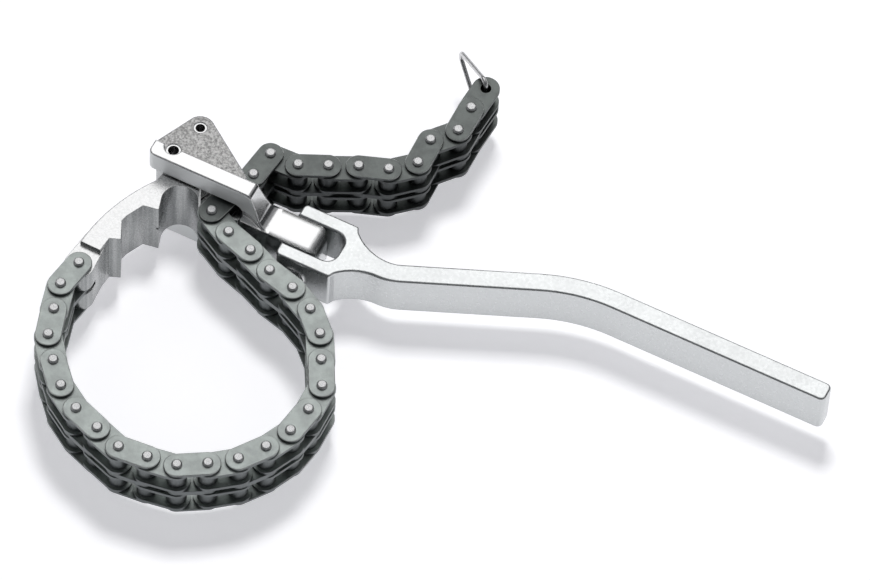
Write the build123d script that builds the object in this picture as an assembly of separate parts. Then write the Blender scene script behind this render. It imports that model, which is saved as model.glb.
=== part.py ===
"""A double chain oil filter wrench, in millimetres.

A duplex roller chain runs from a toothed jaw round the filter, through the throat of a forged head,
where one link sits on two hook teeth, and ends in a free tail with a wire ring. A forked handle
swivels on the head's tongue.
The outlines are drawn with the jaw's pivot at 0, 0 and the middle plane at Z 0. +X runs along the
head and handle, +Z along the chain's pins. place_on_floor moves the finished pieces so that the
origin is the bottom centre of the whole wrench.
"""

from build123d import *
import os
from math import atan2, cos, degrees, hypot, radians, sin, tan

# Chain: half-inch duplex roller chain, with two strands on common pins
pitch = 12.7
strand_pitch = 13.92
inner_width = 7.9
inner_plate_t = 1.6
inner_plate_h = 11.8
outer_plate_t = 1.5
outer_plate_h = 11.0
plate_chamfer = 0.25
roller_d = 8.51
pin_d = 4.45
bush_wall = 0.9
rivet_height = 1.35
rivet_chamfer = 0.6
pin_play = 0.05
roller_play = 0.1
side_play = 0.1

# Path of the chain: where the hooked link's first pin sits, and the bends of the links as laid out
hook_pin = (25.3, -13.9)
hook_heading = 77
loop_heading = -28
loop_bends = (
    11, -6, 9, -13, -17, -16, -1, -27, -10, -16, -11, -16,
    -7, -22, -4, -24, -1, -13, -15, -5, -20, -2, -24,
)
tail_bends = (-6, 12, -81, 24, 1, -6, 22, 49, -41, 40, -4)

# Head: forged clevis with a rib along each arm, hook teeth in the throat and a tongue
head_height = 52.0
rib_step = 2.5
rib_front = -7.6
rib_width = 7.6
arm_end = -8.4
arm_corner_r = 3.0
apex_wall = 3.4
shoulder_at = (30.0, 0.0)
shoulder_r = 4.0
arm_play = 0.3
throat_end = 36.6
throat_corner_r = 4.0
neck_top_end = 39.8
neck_foot = 46.5
neck_crown_r = 3.0
neck_foot_r = 6.0
flare_end = 51.0
tongue_height = 22.0
tongue_width = 14.0
tongue_nose = 6.8
tongue_nose_r = 5.5
tongue_corner_r = 4.0
tongue_start_r = 1.5
head_edge_r = 0.8
tooth_play = 0.3
tooth_tip = 1.2
tooth_root = 9.0

# Tubular pins of the head
stop_pin_at = (4.7, 15.2)
jaw_pin_d = 6.2
stop_pin_d = 5.6
tube_wall = 0.75
pin_sink = 0.4
spot_face_play = 0.9
bore_play = 0.1

# Jaw: toothed forging that holds the chain's first pin between two fingers
jaw_height = 29.4
jaw_back = ((-1.6, -10.6), (-10.9, -29.2), (-15.6, -53.2))
jaw_foot_inner = (-6.3, -53.4)
jaw_teeth = (
    (-5.7, -46.4), (-1.2, -44.6), (-5.2, -36.2), (-4.5, -33.0),
    (-0.9, -25.4), (5.8, -24.2), (4.2, -18.9),
)
jaw_scallop_r = 7.6
jaw_scallop_top = (10.4, -8.8)
jaw_nose = (18.3, -12.4)
jaw_nose_back = (15.2, -4.2)
jaw_boss_r = 7.2
jaw_eye_at = (-11.3, -62.6)
jaw_eye_gap = 0.4
jaw_shank_r = 5.0
jaw_groove = 1.2
jaw_edge_r = 0.6
heel_wall = 2.2
heel_play = 0.25
jaw_swing = (-8, 10)
eye_play = 0.1

# Handle: fork, offset bar and flat grip, one forging
handle_height = 22.0
axis_offset = -4.4
swivel_at = 66.0
fork_width = 28.2
fork_start = 57.2
fork_end = 82.5
slot_play = 0.5
slot_end_play = 0.6
blend_start_drop = 2.6
bar_width = 9.0
bend_start = 104.5
bend_angle = 23.8
grip_offset = 27.4
bend_r = 20.0
grip_bend_r = 80.0
handle_end = 290.6
tine_corner_r = 2.2
shoulder_corner_r = 1.5
slot_end_r = 5.0
grip_corner_r = 2.6
handle_edge_r = 1.1

# Swivel pin: riveted through the fork's tines
swivel_pin_d = 8.0
swivel_head_d = 11.5
swivel_head_t = 1.0
swivel_head_r = 0.7

# Wire ring through the last bush
wire_d = 2.0
ring_reach = 31.0
ring_heading = 138
ring_clear = 0.5
ring_foot_r = 2.6
ring_tip_r = 3.6

# Sizes that follow from those above
pin_r = pin_d / 2
bush_r = pin_r + pin_play + bush_wall
strand_z = strand_pitch / 2
strand_half = inner_width / 2 + inner_plate_t
chain_half = strand_z + strand_half
outer_face = chain_half + side_play
pin_half = outer_face + outer_plate_t + rivet_height
throat_half = pin_half + arm_play
head_half = head_height / 2
web_half = head_half - rib_step
jaw_eye_r = pitch - inner_plate_h / 2 - jaw_eye_gap
stop_radius = hypot(*stop_pin_at)
slot_width = tongue_width + 2 * slot_play
blend_at = fork_end + blend_start_drop / 2
slot_end = swivel_at + hypot(tongue_nose, tongue_height / 2 - tongue_nose_r) + tongue_nose_r + slot_end_play


def step_from(point, heading, length):
    """The point one length away in a direction given in degrees."""
    return (point[0] + length * cos(radians(heading)), point[1] + length * sin(radians(heading)))


def walk(start, heading, bends):
    """Pin positions and link headings along links of one pitch, with a bend at each pin between them."""
    headings = [heading]
    for bend in bends:
        headings.append(headings[-1] + bend)
    pins = [start]
    for link_heading in headings:
        pins.append(step_from(pins[-1], link_heading, pitch))
    return pins, headings


def close_loop(start, heading, bends, goal):
    """Walk the loop with a first turn and a share on every bend that bring its last pin to the goal."""

    def walked(turn, share):
        return walk(start, heading + turn, [bend + share for bend in bends])

    def miss(turn, share):
        end = walked(turn, share)[0][-1]
        return end[0] - goal[0], end[1] - goal[1]

    turn = 0.0
    share = 0.0
    nudge = 0.001
    for _ in range(12):
        miss_x, miss_y = miss(turn, share)
        turn_x, turn_y = [(a - b) / nudge for a, b in zip(miss(turn + nudge, share), (miss_x, miss_y))]
        share_x, share_y = [(a - b) / nudge for a, b in zip(miss(turn, share + nudge), (miss_x, miss_y))]
        area = turn_x * share_y - turn_y * share_x
        turn -= (miss_x * share_y - miss_y * share_x) / area
        share -= (miss_y * turn_x - miss_x * turn_y) / area
    return walked(turn, share)


hook_pin_2 = step_from(hook_pin, hook_heading, pitch)
loop_pins, loop_headings = close_loop(hook_pin, loop_heading, loop_bends, jaw_eye_at)
tail_pins, tail_headings = walk(hook_pin_2, hook_heading + tail_bends[0], tail_bends[1:])


def block(sketch, low, high):
    """A sketch in the middle plane extruded between two heights."""
    return extrude(Pos(0, 0, low) * sketch, high - low)


def both_sides(low, high, sketch):
    """The same sketch extruded above and below the middle plane."""
    return [block(sketch, low, high), block(sketch, -high, -low)]


def tube(outer_r, inner_r, low, high):
    """A tube round Z."""
    return block(Circle(outer_r) - Circle(inner_r), low, high)


def link_plate(height, hole_r, low, high, chamfer_side=0):
    """A stadium plate of one link, from its first pin at 0, 0 along +X, with a hole at each pin."""
    holes = Pos(0, 0) * Circle(hole_r) + Pos(pitch, 0) * Circle(hole_r)
    outline = Pos(pitch / 2, 0) * SlotCenterToCenter(pitch, height)
    plate = block(outline - holes, low, high)
    if chamfer_side:
        face = plate.faces().sort_by(Axis.Z)[-1 if chamfer_side > 0 else 0]
        plate = chamfer(face.outer_wire().edges(), plate_chamfer)
    return plate


def outer_link():
    """Two outer plates, the plate between the strands and two riveted pins."""
    middle_half = strand_z - strand_half - side_play
    solids = [link_plate(outer_plate_h, pin_r, outer_face, outer_face + outer_plate_t, 1)]
    solids.append(link_plate(outer_plate_h, pin_r, -outer_face - outer_plate_t, -outer_face, -1))
    solids.append(link_plate(outer_plate_h, pin_r, -middle_half, middle_half))
    pin = block(Circle(pin_r), -pin_half, pin_half)
    ends = pin.edges().group_by(Axis.Z)[0] + pin.edges().group_by(Axis.Z)[-1]
    pin = chamfer(ends.filter_by(GeomType.CIRCLE), rivet_chamfer)
    return solids + [pin, Pos(pitch, 0) * pin]


def inner_link():
    """On each strand two inner plates, two bushes pressed into them and a roller on each bush."""
    solids = []
    for z in (-strand_z, strand_z):
        low = z - strand_half
        high = z + strand_half
        solids.append(link_plate(inner_plate_h, bush_r, low, low + inner_plate_t))
        solids.append(link_plate(inner_plate_h, bush_r, high - inner_plate_t, high))
        bush = tube(bush_r, pin_r + pin_play, low, high)
        roller_low = low + inner_plate_t + side_play
        roller_high = high - inner_plate_t - side_play
        roller = tube(roller_d / 2, bush_r + roller_play, roller_low, roller_high)
        solids += [bush, roller, Pos(pitch, 0) * bush, Pos(pitch, 0) * roller]
    return solids


def chain():
    """Every link of the chain by name, in place."""
    outer = outer_link()
    inner = inner_link()
    links = {}

    def lay(name, master, pin, heading):
        links[name] = [Location((pin[0], pin[1], 0), (0, 0, heading)) * solid for solid in master]

    lay("outer_link_13", outer, hook_pin, hook_heading)
    for index, (pin, heading) in enumerate(zip(loop_pins, loop_headings)):
        number = 12 - index // 2
        if index % 2:
            lay(f"outer_link_{number:02d}", outer, pin, heading)
        else:
            lay(f"inner_link_{number:02d}", inner, pin, heading)
    for index, (pin, heading) in enumerate(zip(tail_pins, tail_headings)):
        number = 13 + (index + 1) // 2
        if index % 2:
            lay(f"outer_link_{number:02d}", outer, pin, heading)
        else:
            lay(f"inner_link_{number:02d}", inner, pin, heading)
    return links


def arm_outline():
    """One arm seen from above: the rib's bar and the web that carries the stop pin."""
    apex_r = stop_pin_d / 2 + apex_wall
    corner = (arm_end + arm_corner_r, rib_front + arm_corner_r)
    corner_back = (corner[0], rib_front + rib_width + head_edge_r)
    circles = Pos(*stop_pin_at) * Circle(apex_r) + Pos(*corner) * Circle(arm_corner_r)
    circles += Pos(*corner_back) * Circle(arm_corner_r) + Pos(*shoulder_at) * Circle(shoulder_r)
    bar = Rectangle(throat_end - corner[0], rib_width, align=(Align.MIN, Align.MIN))
    return make_hull(circles.edges()) + Pos(corner[0], rib_front) * bar


def neck_side():
    """The head seen from the side, without its throat: arms, neck and tongue as one outline."""
    tongue_half = tongue_height / 2
    nose = swivel_at + tongue_nose
    top = Polyline(
        (arm_end, 0), (arm_end, head_half), (neck_top_end, head_half),
        (neck_foot, tongue_half), (nose, tongue_half), (nose, 0),
    )
    half = make_face(top + Line((nose, 0), (arm_end, 0)))
    half = fillet(half.vertices().sort_by_distance((neck_top_end, head_half))[0], neck_crown_r)
    half = fillet(half.vertices().sort_by_distance((neck_foot, tongue_half))[0], neck_foot_r)
    half = fillet(half.vertices().sort_by_distance((nose, tongue_half))[0], tongue_nose_r)
    return half + mirror(half, Plane.XZ)


def neck_outline():
    """The neck seen from above, widening from the rib to the tongue."""
    edges = []
    sides = []
    for rib_side, tongue_side in ((rib_front, -tongue_width / 2), (rib_front + rib_width, tongue_width / 2)):
        start = (throat_end, rib_side)
        end = (flare_end, axis_offset + tongue_side)
        middle = ((start[0] + end[0]) / 2, (start[1] + end[1]) / 2)
        edges += [TangentArc(start, middle, tangent=(1, 0)), TangentArc(end, middle, tangent=(-1, 0))]
        sides.append((start, end))
    (near_start, near_end), (far_start, far_end) = sides
    return make_face(edges + [Line(near_start, far_start), Line(near_end, far_end)])


def tongue_outline():
    """The tongue seen from above, from inside the neck to its rounded nose."""
    length = swivel_at + tongue_nose - throat_end
    bar = Rectangle(length, tongue_width, align=(Align.MIN, Align.CENTER))
    bar = fillet(bar.vertices().group_by(Axis.X)[-1], tongue_corner_r)
    bar = fillet(bar.vertices().group_by(Axis.X)[0], tongue_start_r)
    return Pos(throat_end, axis_offset) * bar


def hook_tooth(z):
    """A tooth that reaches between the rollers of the hooked link, on the strand at this height."""
    half_width = inner_width / 2 - tooth_play
    reach = throat_end - hook_pin[0]
    bar = Pos(pitch / 2, tooth_tip) * Rectangle(tooth_root, reach, align=(Align.CENTER, Align.MAX))
    bar = fillet(bar.vertices().group_by(Axis.Y)[-1], tooth_tip)
    seat = roller_d / 2 + tooth_play
    bar -= Circle(seat) + Pos(pitch, 0) * Circle(seat)
    tooth = block(bar, z - half_width, z + half_width)
    placed = Location((hook_pin[0], hook_pin[1], 0), (0, 0, hook_heading)) * tooth
    front = axis_offset - tongue_width / 2
    behind = Box(8 * reach, 8 * reach, inner_width, align=(Align.CENTER, Align.MIN, Align.CENTER))
    placed &= Pos(0, front, z) * behind
    return placed.solids().sort_by(SortBy.VOLUME)[-1]


def upper_arm():
    """The upper arm down to the middle plane, with rounded rims along its rib and web."""
    beyond = 2 * head_height
    web_cut = Pos(0, rib_front + rib_width) * Rectangle(4 * beyond, beyond, align=(Align.CENTER, Align.MIN))
    arm = block(arm_outline(), 0, head_half) - block(web_cut, web_half, head_half)
    arm = fillet(arm.edges().group_by(Axis.Z)[-1].sort_by(Axis.X)[:-1], head_edge_r)
    rims = arm.edges().filter_by_position(Axis.Z, web_half - 0.1, web_half + 0.1)
    return fillet(rims.filter_by_position(Axis.Y, stop_pin_d, head_height), head_edge_r)


def head():
    """The clevis with its ribs, neck, tongue, hook teeth and pin holes."""
    beyond = 2 * head_height
    arm = upper_arm()
    body = arm + mirror(arm, Plane.XY)
    side = extrude(Plane.XZ * neck_side(), beyond, both=True)
    neck = block(neck_outline(), -head_half, head_half) & side
    rims = neck.edges().filter_by_position(Axis.X, throat_end + 0.5, flare_end - 0.5)
    neck = fillet([edge for edge in rims if abs(edge.center().Z) > throat_corner_r], head_edge_r)
    tongue = block(tongue_outline(), -tongue_height / 2, tongue_height / 2) & side
    body += neck + tongue
    throat = Rectangle(throat_end + beyond, 2 * throat_half, align=(Align.MAX, Align.CENTER))
    throat = fillet(throat.vertices().group_by(Axis.X)[-1], throat_corner_r)
    body -= extrude(Plane.XZ * Pos(throat_end, 0) * throat, beyond, both=True)
    for pin_at, pin_size in (((0, 0), jaw_pin_d), (stop_pin_at, stop_pin_d)):
        spot = Pos(*pin_at) * Circle(pin_size / 2 + spot_face_play)
        for cut in both_sides(web_half, head_half + 1, spot):
            body -= cut
        body -= block(Pos(*pin_at) * Circle(pin_size / 2), -head_half, head_half)
    for z in (-strand_z, strand_z):
        body += hook_tooth(z)
    bore = Rot(90, 0, 0) * Cylinder(swivel_pin_d / 2 + bore_play, 2 * tongue_width)
    return [body - Pos(swivel_at, axis_offset, 0) * bore]


def tubular_pin(pin_at, size):
    """A hollow pin through both arms, its ends just below the web's faces."""
    half = web_half - pin_sink
    return [Pos(*pin_at) * tube(size / 2, size / 2 - tube_wall, -half, half)]


def jaw_body_outline():
    """The jaw's toothed arc from its foot to the scallop and the nose, with the pivot boss."""
    start, middle, foot = jaw_back
    back = ThreePointArc(start, middle, foot)
    teeth = Polyline(foot, jaw_foot_inner, *jaw_teeth)
    scallop = RadiusArc(jaw_teeth[-1], jaw_scallop_top, jaw_scallop_r)
    scallop_2 = RadiusArc(jaw_scallop_top, jaw_nose, jaw_scallop_r)
    close = Polyline(jaw_nose, jaw_nose_back, (0, 0), start)
    return make_face(back + teeth + scallop + scallop_2 + close)


def jaw_heel():
    """The heel behind the pivot with its curved slot for the stop pin, centred on the pivot."""
    slot_r = stop_pin_d / 2 + heel_play
    middle = degrees(atan2(stop_pin_at[1], stop_pin_at[0]))
    low = middle - jaw_swing[1]
    high = middle - jaw_swing[0]
    slot = trace(CenterArc((0, 0), stop_radius, low, high - low), 2 * slot_r)
    heel_edges = Circle(jaw_boss_r).edges()
    for angle in (low, high):
        end = step_from((0, 0), angle, stop_radius)
        slot += Pos(*end) * Circle(slot_r)
        heel_edges += (Pos(*end) * Circle(slot_r + heel_wall)).edges()
    return make_hull(heel_edges) - slot


def jaw():
    """The jaw's body, its boss between the arms, its two fingers and the groove in the scallop."""
    half = jaw_height / 2
    body = block(jaw_body_outline(), -half, half)
    body += block(jaw_heel(), -half, half)
    body += block(Circle(jaw_boss_r), -pin_half, pin_half)
    foot = ((jaw_back[-1][0] + jaw_foot_inner[0]) / 2, jaw_foot_inner[1] + jaw_shank_r)
    ends = Pos(*jaw_eye_at) * Circle(jaw_eye_r) + Pos(*foot) * Circle(jaw_shank_r)
    finger = make_hull(ends.edges())
    body += block(finger, -chain_half, chain_half)
    middle_gap = strand_z - strand_half
    body -= block(Pos(*jaw_eye_at) * Circle(jaw_eye_r + jaw_eye_gap), -middle_gap, middle_gap)
    body -= block(Pos(*jaw_eye_at) * Circle(pin_r + eye_play), -half, half)
    body -= block(Circle(jaw_pin_d / 2 + bore_play), -head_half, head_half)
    scallop_at = (jaw_teeth[-1][0] + jaw_scallop_r, jaw_teeth[-1][1])
    body -= block(Pos(*scallop_at) * Circle(jaw_scallop_r + jaw_groove), -jaw_groove / 2, jaw_groove / 2)
    for level in (-half, half):
        rims = body.edges().filter_by_position(Axis.Z, level - 0.1, level + 0.1)
        body = fillet(rims.sort_by(SortBy.LENGTH)[-1], jaw_edge_r)
    return [body]


def fork_outline():
    """The fork and its concave shoulders down to the bar, seen from above."""
    half = fork_width / 2
    bar_half = bar_width / 2
    corner = (fork_end, half)
    blend = (blend_at, half - blend_start_drop)
    blend_end = bend_start - bend_r * tan(radians(bend_angle / 2))
    run = blend_end - blend[0]
    drop = blend[1] - bar_half
    blend_r = (run * run + drop * drop) / (2 * drop)
    edge = Line((fork_start, half), corner) + Line(corner, blend)
    edge += RadiusArc(blend, (blend_end, bar_half), -blend_r)
    upper = edge + Line((blend_end, bar_half), (blend_end, 0))
    upper += Line((blend_end, 0), (fork_start, 0))
    upper += Line((fork_start, 0), (fork_start, half))
    face = make_face(upper)
    return Pos(0, axis_offset) * (face + mirror(face, Plane.XZ))


def bar_outline():
    """The offset bar and grip seen from above."""
    rise = grip_offset - axis_offset
    run = rise / sin(radians(bend_angle)) * cos(radians(bend_angle))
    line = FilletPolyline(
        (fork_end, axis_offset), (bend_start, axis_offset), (bend_start + run, grip_offset),
        (handle_end, grip_offset), radius=[bend_r, grip_bend_r]
    )
    return trace(line, bar_width)


def handle():
    """The fork with its slot and bores, the offset bar and the grip."""
    half = handle_height / 2
    body = block(fork_outline() + bar_outline(), -half, half)
    slot_half = slot_width / 2
    slot = Rectangle(slot_end - fork_start, slot_width, align=(Align.MIN, Align.CENTER))
    slot = fillet(slot.vertices().group_by(Axis.X)[-1], slot_end_r)
    body -= block(Pos(fork_start, axis_offset) * slot, -half, half)
    upright = body.edges().filter_by(Axis.Z)
    body = fillet(upright.group_by(Axis.X)[-1], grip_corner_r)
    upright = body.edges().filter_by(Axis.Z).group_by(Axis.X)[0].sort_by(Axis.Y)
    body = fillet([upright[0], upright[-1]], tine_corner_r)
    upright = body.edges().filter_by(Axis.Z)
    body = fillet(upright.filter_by_position(Axis.X, fork_end - 1, blend_at + 1), shoulder_corner_r)
    rims = body.edges().group_by(Axis.Z)
    body = fillet(rims[0] + rims[-1], handle_edge_r)
    body -= Pos(swivel_at, axis_offset, 0) * Rot(90, 0, 0) * Cylinder(swivel_pin_d / 2, 2 * fork_width)
    return [body]


def swivel_pin():
    """The riveted cross pin of the fork, with a low head at each end."""
    shaft = Cylinder(swivel_pin_d / 2, fork_width)
    solid = shaft
    for side in (-1, 1):
        rivet = Cylinder(swivel_head_d / 2, swivel_head_t)
        rivet = Pos(0, 0, side * (fork_width + swivel_head_t) / 2) * rivet
        rim = rivet.edges().filter_by(GeomType.CIRCLE).sort_by(Axis.Z)[-1 if side > 0 else 0]
        solid += fillet(rim, swivel_head_r)
    return [Pos(swivel_at, axis_offset, 0) * Rot(90, 0, 0) * solid]


def wire_ring():
    """A bent wire loop, a straight leg through the last bush and two legs that meet at a round tip."""
    foot = (chain_half + ring_clear + wire_d / 2) / (1 - inner_plate_h / 2 / ring_reach)
    corners = ((0, -foot), (0, foot), (ring_reach, 0))
    outline = FilletPolyline(*corners, radius=[ring_foot_r, ring_foot_r, ring_tip_r], close=True)
    along = Vector(*step_from((0, 0), ring_heading, 1))
    upright = Plane(origin=(*tail_pins[-1], 0), x_dir=along, z_dir=along.cross(Vector(0, 0, 1)))
    path = upright * outline
    profile = Plane(origin=path @ 0, z_dir=path % 0) * Circle(wire_d / 2)
    return [sweep(profile, path)]


def pieces():
    """Every node by name, as a list of solids round the jaw's pivot."""
    nodes = {
        "head": head(),
        "jaw_pivot_pin": tubular_pin((0, 0), jaw_pin_d),
        "stop_pin": tubular_pin(stop_pin_at, stop_pin_d),
        "jaw": jaw(),
        "handle": handle(),
        "swivel_pin": swivel_pin(),
        "wire_ring": wire_ring(),
    }
    nodes.update(chain())
    return nodes


def place_on_floor(nodes):
    """How far the pieces move so that the origin is the bottom centre of them all."""
    boxes = [solid.bounding_box() for solids in nodes.values() for solid in solids]
    middle_x = (min(box.min.X for box in boxes) + max(box.max.X for box in boxes)) / 2
    middle_y = (min(box.min.Y for box in boxes) + max(box.max.Y for box in boxes)) / 2
    return Vector(-middle_x, -middle_y, -min(box.min.Z for box in boxes))


def main():
    nodes = pieces()
    shift = place_on_floor(nodes)
    os.makedirs("parts", exist_ok=True)
    for name, solids in nodes.items():
        moved = [Pos(shift) * solid for solid in solids]
        export_step(Compound(children=moved), f"parts/{name}.step")
    return nodes, shift


if __name__ == "__main__":
    main()
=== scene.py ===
"""Looks of the double chain oil filter wrench, in metres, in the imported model's frame."""

import math

import bpy
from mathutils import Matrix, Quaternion, Vector

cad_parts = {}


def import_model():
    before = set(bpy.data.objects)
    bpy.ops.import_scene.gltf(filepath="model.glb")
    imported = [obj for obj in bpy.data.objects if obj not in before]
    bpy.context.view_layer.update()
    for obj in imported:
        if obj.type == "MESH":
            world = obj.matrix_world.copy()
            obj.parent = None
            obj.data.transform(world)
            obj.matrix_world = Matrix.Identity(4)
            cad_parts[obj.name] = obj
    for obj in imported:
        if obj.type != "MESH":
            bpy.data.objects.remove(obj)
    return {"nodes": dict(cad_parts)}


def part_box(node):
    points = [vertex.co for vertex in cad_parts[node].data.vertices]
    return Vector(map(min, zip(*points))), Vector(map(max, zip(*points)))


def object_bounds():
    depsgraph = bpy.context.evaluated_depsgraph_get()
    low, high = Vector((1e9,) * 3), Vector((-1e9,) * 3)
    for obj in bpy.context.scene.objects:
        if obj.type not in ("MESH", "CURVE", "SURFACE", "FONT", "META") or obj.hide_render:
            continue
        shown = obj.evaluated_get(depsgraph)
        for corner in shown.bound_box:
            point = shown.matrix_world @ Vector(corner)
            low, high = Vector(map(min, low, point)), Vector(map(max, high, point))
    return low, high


# Photograph's view: direction and roll of the camera in degrees, the point at the picture's centre
# and the width that the picture spans there
AZIMUTH = 23.64
ELEVATION = 57.11
ROLL = 3.64
VIEW_CENTRE = Vector((-0.0142, 0.0154, 0.0258))
VIEW_WIDTH = 0.3624
CAMERA_DISTANCE = 3.245
SENSOR_WIDTH = 36.0
CLIP_END = 100.0

# Studio: soft light from all round, a floor that glows a little, and dark cards that only mirrors see
BEHIND = AZIMUTH + 180
WORLD_LIGHT = 0.34
FLOOR_SIZE = 12.0
FLOOR_GLOW = 0.35
CARD_RADIUS = 2.5

# Heights that part one finish from another, above and below the middle plane
RIVET_FACE = 0.01415
ARM_INSIDE = 0.0135
WEB_LOW = 0.0225
WEB_HIGH = 0.0237

# The fork's slot and the tongue in it, where the handle's walls get their deepest painted shade: reach from
# the swivel pin, along the handle and to each side
SLOT_REACH = 0.0155
SLOT_SIDE = 0.0079

# Tilt at which a finish or the painted shade on upright faces changes: 0 is an upright face, 1 a level one
UPRIGHT = 0.15
SLOPING = 0.5
LEVEL = 0.95

# Links with higher numbers lie on the hook or past it, where the chain is darker
LOOP_LINKS = 12

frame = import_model()
cad_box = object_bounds()
NODES = frame["nodes"]
MIDDLE_Z = (cad_box[0].z + cad_box[1].z) / 2


def grey(level, warm=0.0, green=0.0):
    """A near-neutral colour."""
    return (level * (1 + warm), level * (1 + green), level * (1 - warm), 1.0)


class Shader:
    """A node material built up call by call."""

    def __init__(self, name):
        self.material = bpy.data.materials.new(name)
        self.material.use_nodes = True
        self.tree = self.material.node_tree
        self.bsdf = self.tree.nodes["Principled BSDF"]
        self.coords = self.tree.nodes.new("ShaderNodeTexCoord").outputs["Object"]

    def node(self, kind, inputs=None, **settings):
        made = self.tree.nodes.new(kind)
        for key, value in settings.items():
            setattr(made, key, value)
        for key, value in (inputs or {}).items():
            self.feed(made.inputs[key], value)
        return made

    def feed(self, socket, value):
        if isinstance(value, bpy.types.NodeSocket):
            self.tree.links.new(value, socket)
        else:
            socket.default_value = value

    def math(self, operation, first, second=0.0):
        return self.node("ShaderNodeMath", {0: first, 1: second}, operation=operation).outputs[0]

    def both(self, first, *others):
        """Product of masks: 1 only where all of them are 1."""
        for other in others:
            first = self.math("MULTIPLY", first, other)
        return first

    def noise(self, scale, detail=3.0, roughness=0.55, stretch=(1, 1, 1)):
        """Fractal noise whose features are about 1 / scale metres."""
        moved = self.node("ShaderNodeMapping", {"Vector": self.coords, "Scale": stretch})
        inputs = {"Vector": moved.outputs[0], "Scale": scale, "Detail": detail, "Roughness": roughness}
        return self.node("ShaderNodeTexNoise", inputs).outputs["Fac"]

    def ramp(self, value, low, high, from_low=0.0, from_high=1.0):
        """A smooth step between two levels."""
        inputs = {
            "Value": value, "From Min": from_low, "From Max": from_high, "To Min": low, "To Max": high,
        }
        return self.node("ShaderNodeMapRange", inputs, interpolation_type="SMOOTHSTEP").outputs[0]

    def mix(self, factor, first, second):
        """A blend of two colours."""
        made = self.node("ShaderNodeMix", data_type="RGBA")
        self.feed(made.inputs[0], factor)
        self.feed(made.inputs[6], first)
        self.feed(made.inputs[7], second)
        return made.outputs[2]

    def mix_values(self, factor, first, second):
        """A blend of two numbers."""
        made = self.node("ShaderNodeMix", data_type="FLOAT")
        self.feed(made.inputs[0], factor)
        self.feed(made.inputs[2], first)
        self.feed(made.inputs[3], second)
        return made.outputs[0]

    def coordinate(self, axis):
        return self.node("ShaderNodeSeparateXYZ", {0: self.coords}).outputs[axis]

    def distance(self, axis, centre):
        """How far a point lies from a plane across one axis."""
        return self.math("ABSOLUTE", self.math("SUBTRACT", self.coordinate(axis), centre))

    def height(self):
        """Distance from the wrench's middle plane."""
        return self.distance("Z", MIDDLE_Z)

    def in_slot(self):
        """1 in the slot of the fork, where the tongue lies."""
        low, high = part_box("swivel_pin")
        along = self.math("LESS_THAN", self.distance("X", (low[0] + high[0]) / 2), SLOT_REACH)
        across = self.math("LESS_THAN", self.distance("Y", (low[1] + high[1]) / 2), SLOT_SIDE)
        return self.both(along, across)

    def tilt(self):
        """Tilt of a face, from 0 upright to 1 level, in the piece's own space, which moves with it."""
        facing = self.node("ShaderNodeNewGeometry").outputs["True Normal"]
        spaces = {"convert_from": "WORLD", "convert_to": "OBJECT"}
        own = self.node("ShaderNodeVectorTransform", {0: facing}, vector_type="NORMAL", **spaces).outputs[0]
        return self.math("ABSOLUTE", self.node("ShaderNodeSeparateXYZ", {0: own}).outputs["Z"])

    def wall(self):
        """1 on upright faces, 0 on level ones: it places the forgings' painted shade, and the head's duller
        arm walls.
        """
        return self.ramp(self.tilt(), 1, 0, UPRIGHT, SLOPING)

    def finish(self, colour, roughness, bump=None, bump_depth=0.0, edge=None, metallic=1.0):
        """Sets the surface; edge is the radius within which sharp edges are shaded round."""
        self.feed(self.bsdf.inputs["Base Color"], colour)
        self.feed(self.bsdf.inputs["Roughness"], roughness)
        self.feed(self.bsdf.inputs["Metallic"], metallic)
        normal = None
        if edge is not None:
            normal = self.node("ShaderNodeBevel", {"Radius": edge}, samples=6).outputs[0]
        if bump is not None:
            inputs = {"Height": bump, "Distance": bump_depth, "Strength": 1.0}
            if normal is not None:
                inputs["Normal"] = normal
            normal = self.node("ShaderNodeBump", inputs).outputs[0]
        if normal is not None:
            self.feed(self.bsdf.inputs["Normal"], normal)
        return self.material


def chain_plate(name, level):
    """Oiled chain steel: mottled plates whose upright sides are darkened with painted shade, light rims on
    the chamfers that are partly wear and partly a painted highlight, and bright rivet heads.
    """
    shader = Shader(name)
    blotch = shader.ramp(shader.noise(160, 4.0), 0, 1, 0.35, 0.65)
    grain = shader.noise(2600, 2.0)
    tilt = shader.tilt()
    plate = shader.mix(blotch, grey(level * 0.82, -0.02, 0.05), grey(level, -0.02, 0.06))
    # upright plate sides darkened: painted shade
    plate = shader.mix(shader.ramp(tilt, 1, 0, 0.1, 0.5), plate, grey(level * 0.4, -0.04, 0.03))
    # chamfered rims lightened: partly edge wear, partly a painted highlight
    rim = shader.both(shader.ramp(tilt, 0, 1, 0.45, 0.6), shader.ramp(tilt, 1, 0, 0.85, 0.97))
    plate = shader.mix(rim, plate, grey(0.55, 0, 0.03))
    rivet = shader.mix(shader.ramp(grain, 0, 1, 0.3, 0.7), grey(0.4), grey(0.8))
    colour = shader.mix(shader.math("GREATER_THAN", shader.height(), RIVET_FACE), plate, rivet)
    roughness = shader.ramp(grain, 0.34, 0.5, 0.3, 0.7)
    return shader.finish(colour, roughness, grain, bump_depth=0.00003, edge=0.0002)


def jaw_finish():
    """Plated forging: bright on top, its broached sides darkened with painted shade and faintly streaked
    from top to bottom.
    """
    shader = Shader("jaw_forging")
    grain = shader.noise(1100, 4.0, 0.6)
    streak = shader.ramp(shader.noise(420, 2.0, 0.5, stretch=(1, 1, 0.04)), 0, 1, 0.3, 0.7)
    side = shader.mix(streak, grey(0.26, -0.02, 0.02), grey(0.38, -0.01, 0.01))
    # upright faces darker than the top: painted shade
    colour = shader.mix(shader.wall(), grey(0.67), side)
    roughness = shader.ramp(grain, 0.22, 0.34, 0.35, 0.65)
    return shader.finish(colour, roughness, grain, bump_depth=0.00003, edge=0.0004)


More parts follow.
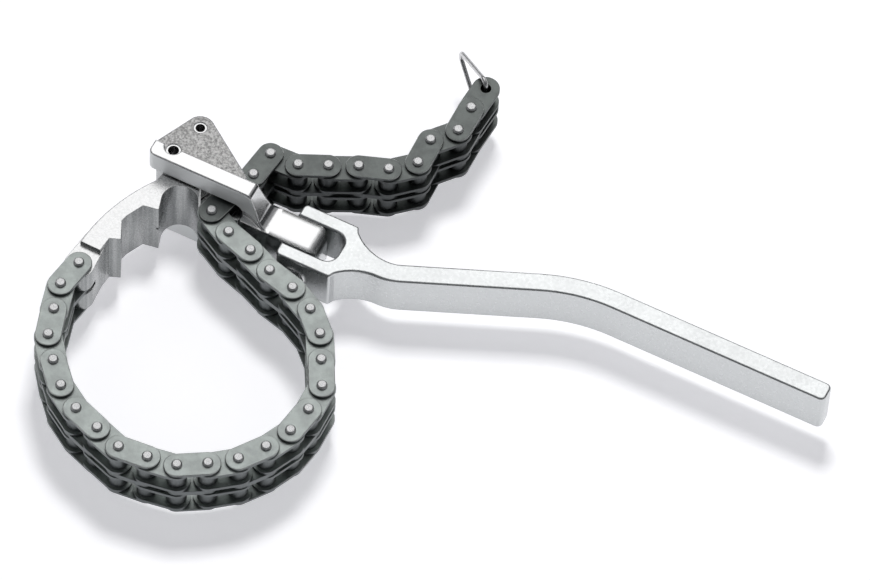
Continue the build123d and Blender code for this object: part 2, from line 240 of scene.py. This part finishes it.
def handle_finish():
    """Plated forging: satin with a fine orange-peel grain; its upright faces darkened with painted shade,
    the walls of its slot darkest.
    """
    shader = Shader("handle_forging")
    grain = shader.noise(830, 4.0, 0.6)
    blotch = shader.ramp(shader.noise(70, 3.0), 0, 1, 0.35, 0.65)
    wall = shader.wall()
    colour = shader.mix(blotch, grey(0.67, -0.01, 0.008), grey(0.71, -0.01, 0.01))
    # upright faces darker: painted shade
    colour = shader.mix(wall, colour, grey(0.6, -0.012, 0.012))
    # the slot's walls darker still: painted shade in the recess
    colour = shader.mix(shader.both(shader.in_slot(), wall), colour, grey(0.36, -0.02, 0.02))
    roughness = shader.ramp(grain, 0.27, 0.37, 0.35, 0.65)
    return shader.finish(colour, roughness, grain, bump_depth=0.00003)


def head_finish():
    """Polished ribs, neck and tongue with painted shade on their upright faces, duller arm walls, and webs
    left as forged: speckled and rough.
    """
    shader = Shader("head_forging")
    speckle = shader.ramp(shader.noise(1100, 3.0, 0.7), 0, 1, 0.36, 0.62)
    pits = shader.noise(700, 4.0, 0.65)
    peel = shader.noise(260, 2.0)
    height = shader.height()
    wall = shader.wall()
    arm_wall = shader.both(wall, shader.math("GREATER_THAN", height, ARM_INSIDE))
    web = shader.both(
        shader.math("GREATER_THAN", shader.tilt(), LEVEL),
        shader.math("GREATER_THAN", height, WEB_LOW),
        shader.math("LESS_THAN", height, WEB_HIGH),
    )
    # upright faces darker than the polished tops: painted shade
    colour = shader.mix(wall, grey(0.7), grey(0.5, -0.01, 0.01))
    colour = shader.mix(arm_wall, colour, grey(0.78, -0.012, 0.012))
    colour = shader.mix(web, colour, shader.mix(speckle, grey(0.3, 0.01), grey(0.7, 0.01)))
    roughness = shader.mix_values(arm_wall, shader.ramp(peel, 0.12, 0.22, 0.3, 0.7), 0.4)
    roughness = shader.mix_values(web, roughness, 0.5)
    relief = shader.math("MULTIPLY", pits, shader.mix_values(web, 0.4, 5.4))
    rounding = shader.mix_values(shader.in_slot(), 0.0009, 0.0035)
    metallic = shader.mix_values(arm_wall, 1.0, 0.2)
    return shader.finish(colour, roughness, relief, bump_depth=0.00006, edge=rounding, metallic=metallic)


def plain_steel(name, level, roughness):
    """Drawn or turned steel of one tone."""
    shader = Shader(name)
    drawn = shader.noise(900, 2.0, 0.5)
    rough = shader.ramp(drawn, roughness * 0.7, roughness * 1.3, 0.35, 0.65)
    return shader.finish(grey(level), rough, drawn, bump_depth=0.00002)


def dress(names, material):
    """Gives the nodes one material."""
    for name in names:
        mesh = NODES[name].data
        mesh.materials.clear()
        mesh.materials.append(material)
        NODES[name].color = material.diffuse_color


def dress_all():
    """Every node of the wrench gets its finish."""
    links = [name for name in NODES if name.startswith(("outer_link", "inner_link"))]
    tail = [name for name in links if int(name[-2:]) > LOOP_LINKS]
    loop = [name for name in links if name not in tail]
    dress([name for name in loop if name.startswith("outer")], chain_plate("chain_outer_steel", 0.42))
    # inner links a little darker than the outer ones: painted shade between the outer plates
    dress([name for name in loop if name.startswith("inner")], chain_plate("chain_inner_steel", 0.4))
    dress(tail, chain_plate("chain_tail_steel", 0.17))
    dress(["head"], head_finish())
    dress(["jaw"], jaw_finish())
    dress(["handle"], handle_finish())
    dress(["jaw_pivot_pin", "stop_pin", "swivel_pin"], plain_steel("pin_steel", 0.72, 0.28))
    dress(["wire_ring"], plain_steel("wire_steel", 0.6, 0.3))


def floor():
    """White studio floor that glows a little, so that it stays pale under the shadow."""
    bpy.ops.mesh.primitive_plane_add(size=FLOOR_SIZE, location=(0, 0, 0))
    plane = bpy.context.object
    plane.name = "floor"
    shader = Shader("floor_white")
    cloud = shader.noise(3, 2.0)
    colour = shader.mix(cloud, (0.86, 0.86, 0.87, 1), (0.88, 0.88, 0.89, 1))
    plane.data.materials.append(shader.finish(colour, 0.9, metallic=0.0))
    shader.bsdf.inputs["Specular IOR Level"].default_value = 0.1
    shader.bsdf.inputs["Emission Color"].default_value = (1.0, 0.995, 1.04, 1)
    shader.bsdf.inputs["Emission Strength"].default_value = FLOOR_GLOW


def direction(azimuth, elevation):
    """Unit vector from the object for angles in degrees, azimuth 0 towards -Y as the views count it."""
    azimuth = math.radians(azimuth)
    elevation = math.radians(elevation)
    level = math.cos(elevation)
    return Vector((math.sin(azimuth) * level, -math.cos(azimuth) * level, math.sin(elevation)))


def area_light(name, elevation, distance, size, radiance, mirrored):
    """A square soft box behind the wrench, which either shows in its steel or lights the floor."""
    data = bpy.data.lights.new(name, "AREA")
    data.shape = "SQUARE"
    data.size = size
    data.energy = radiance * math.pi * size * size
    light = bpy.data.objects.new(name, data)
    light.visible_camera = False
    light.visible_glossy = mirrored
    light.visible_diffuse = not mirrored
    bpy.context.collection.objects.link(light)
    towards = direction(BEHIND, elevation)
    light.location = VIEW_CENTRE + towards * distance
    light.rotation_euler = (-towards).to_track_quat("-Z", "Y").to_euler()


def dark_card(name, azimuths, elevations, tone):
    """A card bent round the wrench, which only mirrors see: it draws the dark line along rounded edges."""
    points = [
        VIEW_CENTRE + direction(azimuth, elevation) * CARD_RADIUS
        for azimuth in azimuths for elevation in elevations
    ]
    faces = [(2 * i, 2 * i + 1, 2 * i + 3, 2 * i + 2) for i in range(len(azimuths) - 1)]
    mesh = bpy.data.meshes.new(name)
    mesh.from_pydata(points, [], faces)
    card = bpy.data.objects.new(name, mesh)
    bpy.context.collection.objects.link(card)
    shader = Shader(name)
    mesh.materials.append(shader.finish(grey(0.0), 1.0, metallic=0.0))
    shader.bsdf.inputs["Specular IOR Level"].default_value = 0.0
    shader.bsdf.inputs["Emission Color"].default_value = (0.95, 1.0, 1.05, 1)
    shader.bsdf.inputs["Emission Strength"].default_value = tone
    card.visible_camera = False
    card.visible_diffuse = False
    card.visible_shadow = False


def camera():
    """A long lens that frames the wrench as the photograph does."""
    data = bpy.data.cameras.new("camera")
    data.sensor_width = SENSOR_WIDTH
    data.lens = SENSOR_WIDTH * CAMERA_DISTANCE / VIEW_WIDTH
    data.clip_end = CLIP_END
    made = bpy.data.objects.new("camera", data)
    bpy.context.collection.objects.link(made)
    towards = direction(AZIMUTH, ELEVATION)
    made.location = VIEW_CENTRE + towards * CAMERA_DISTANCE
    roll = Quaternion((0, 0, 1), math.radians(ROLL))
    made.rotation_euler = ((-towards).to_track_quat("-Z", "Y") @ roll).to_euler()
    bpy.context.scene.camera = made


def world():
    """Even light from all round."""
    made = bpy.data.worlds.new("studio")
    made.use_nodes = True
    background = made.node_tree.nodes["Background"]
    background.inputs["Color"].default_value = (0.97, 0.98, 1.0, 1)
    background.inputs["Strength"].default_value = WORLD_LIGHT
    bpy.context.scene.world = made


dress_all()
floor()
world()
camera()
area_light("key", elevation=74, distance=1.8, size=0.36, radiance=43.0, mirrored=False)
area_light("panel", elevation=ELEVATION, distance=1.6, size=1.5, radiance=1.15, mirrored=True)
dark_card("far_card", [BEHIND + turn for turn in range(-100, 101, 20)], elevations=(1, 36), tone=0.05)
dark_card("near_card", [AZIMUTH + turn for turn in range(-60, 61, 20)], elevations=(10, 74), tone=0.11)
bpy.context.scene.view_settings.view_transform = "Standard"
